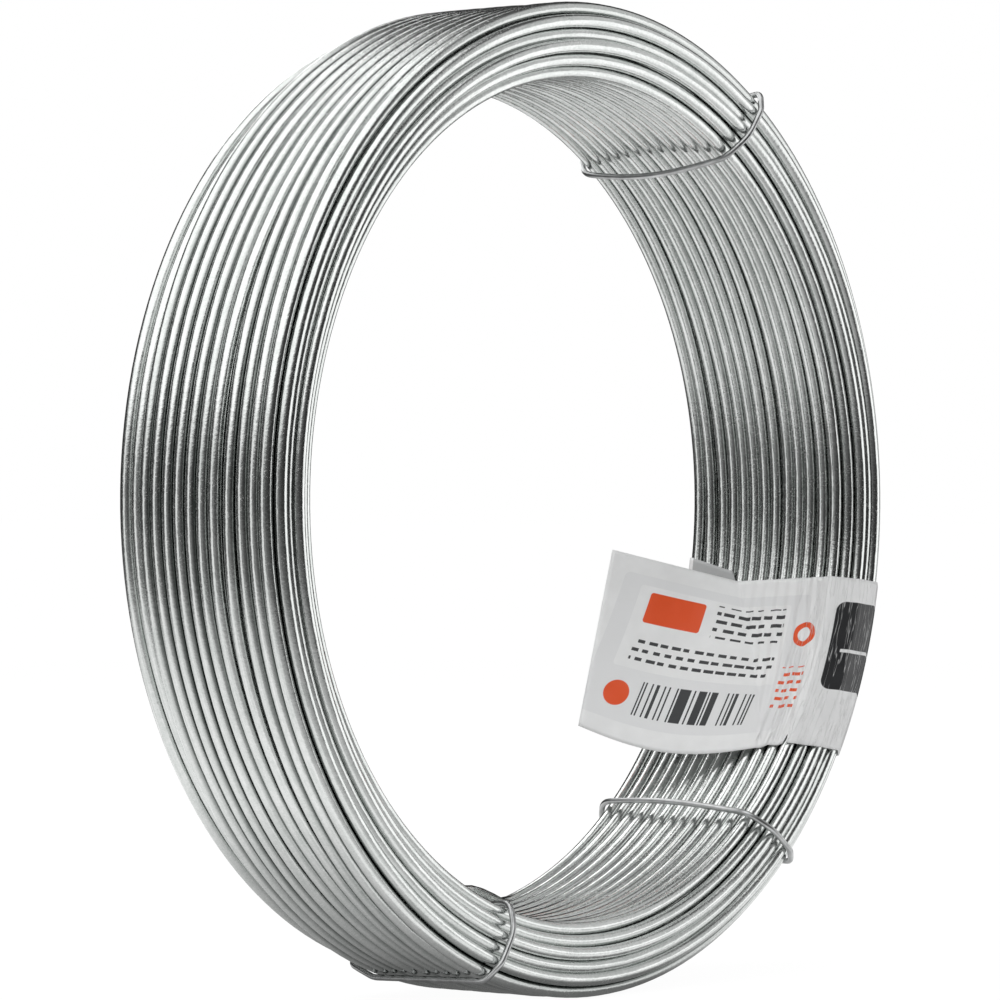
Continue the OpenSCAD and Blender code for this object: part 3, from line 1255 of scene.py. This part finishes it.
def glowing_material(name):
    """A material that only glows. Gives it, its nodes and the socket of its strength."""
    material = bpy.data.materials.new(name)
    material.use_nodes = True
    tree = material.node_tree
    tree.nodes.remove(tree.nodes["Principled BSDF"])
    glow = add_node(tree, "ShaderNodeEmission")
    tree.links.new(glow.outputs[0], tree.nodes["Material Output"].inputs["Surface"])
    return material, tree, glow.inputs["Strength"]


def show_to_metal(thing, material):
    """Leaves a thing of the stage visible only as a mirror image."""
    thing.data.materials.append(material)
    thing.visible_camera = False
    thing.visible_diffuse = False
    thing.visible_shadow = False


def light_tent():
    """A tent of dark cloth with a white roof and lit gaps, which only the metal mirrors."""
    deselect()
    bpy.ops.mesh.primitive_uv_sphere_add(
        segments=48, ring_count=24, radius=TENT_RADIUS, location=(0, 0, AXIS_HEIGHT))
    tent = bpy.context.object
    tent.name = "light_tent"
    material, tree, strength = glowing_material("Tent cloth")
    place = add_node(tree, "ShaderNodeTexCoord").outputs["Object"]
    turn, rise, _ = bearings(tree, place)
    plug(tree, tent_light(tree, place, turn, rise), strength)
    show_to_metal(tent, material)


def white_card(name, place, turn, size, light):
    """A lit card that only the metal mirrors."""
    deselect()
    bpy.ops.mesh.primitive_plane_add(size=1, location=place, rotation=(*map(math.radians, turn), 0))
    card = bpy.context.object
    card.name = name
    card.scale = (*size, 1)
    bpy.ops.object.transform_apply(location=True, rotation=True, scale=True)
    material, tree, strength = glowing_material("White card")
    plug(tree, light, strength)
    show_to_metal(card, material)


class COIL_OT_stage(bpy.types.Operator):
    """Sets the floor, the light and the camera"""

    bl_idname = "coil.stage"
    bl_label = "Set stage"

    def execute(self, context):
        stage = context.scene.coil_stage
        context.scene.view_settings.view_transform = "Standard"
        white_world()
        white_floor()
        middle = (0, 0, AXIS_HEIGHT)
        for name, lamp in LAMPS.items():
            area_light(name, middle, *lamp)
        light_tent()
        for name, card in CARDS.items():
            white_card(name, *card)
        deselect()
        x = math.sin(stage.azimuth) * stage.distance
        y = -math.cos(stage.azimuth) * stage.distance
        bpy.ops.object.camera_add(location=(x, y, AXIS_HEIGHT))
        camera = context.object
        point_at(camera, middle)
        camera.data.lens = stage.lens
        camera.data.sensor_width = CAMERA_SENSOR
        camera.data.shift_x = CAMERA_SHIFT
        camera.data.clip_start = CAMERA_NEAREST
        context.scene.camera = camera
        return {"FINISHED"}


SETTINGS = {
    "coil_wire": WireSettings,
    "coil_ties": TieSettings,
    "coil_label": LabelSettings,
    "coil_stage": StageSettings,
}
OPERATORS = (COIL_OT_wire, COIL_OT_ties, COIL_OT_label, COIL_OT_stage)


class COIL_PT_panel(bpy.types.Panel):
    """Lists the steps that make the coil"""

    bl_idname = "COIL_PT_panel"
    bl_label = "Wire coil"
    bl_space_type = "VIEW_3D"
    bl_region_type = "UI"
    bl_category = "Wire coil"

    def draw(self, context):
        for name, kind in SETTINGS.items():
            box = self.layout.box()
            for key in kind.__annotations__:
                box.prop(getattr(context.scene, name), key)
        for operator in OPERATORS:
            self.layout.operator(operator.bl_idname)


CLASSES = (*SETTINGS.values(), *OPERATORS, COIL_PT_panel)


def register():
    for kind in CLASSES:
        bpy.utils.register_class(kind)
    for name, kind in SETTINGS.items():
        setattr(bpy.types.Scene, name, PointerProperty(type=kind))


def unregister():
    for name in SETTINGS:
        delattr(bpy.types.Scene, name)
    for kind in reversed(CLASSES):
        bpy.utils.unregister_class(kind)


def main():
    register()
    bpy.ops.coil.stage()
    bpy.ops.coil.wire()
    bpy.ops.coil.ties()
    bpy.ops.coil.label()


if __name__ == "__main__":
    main()
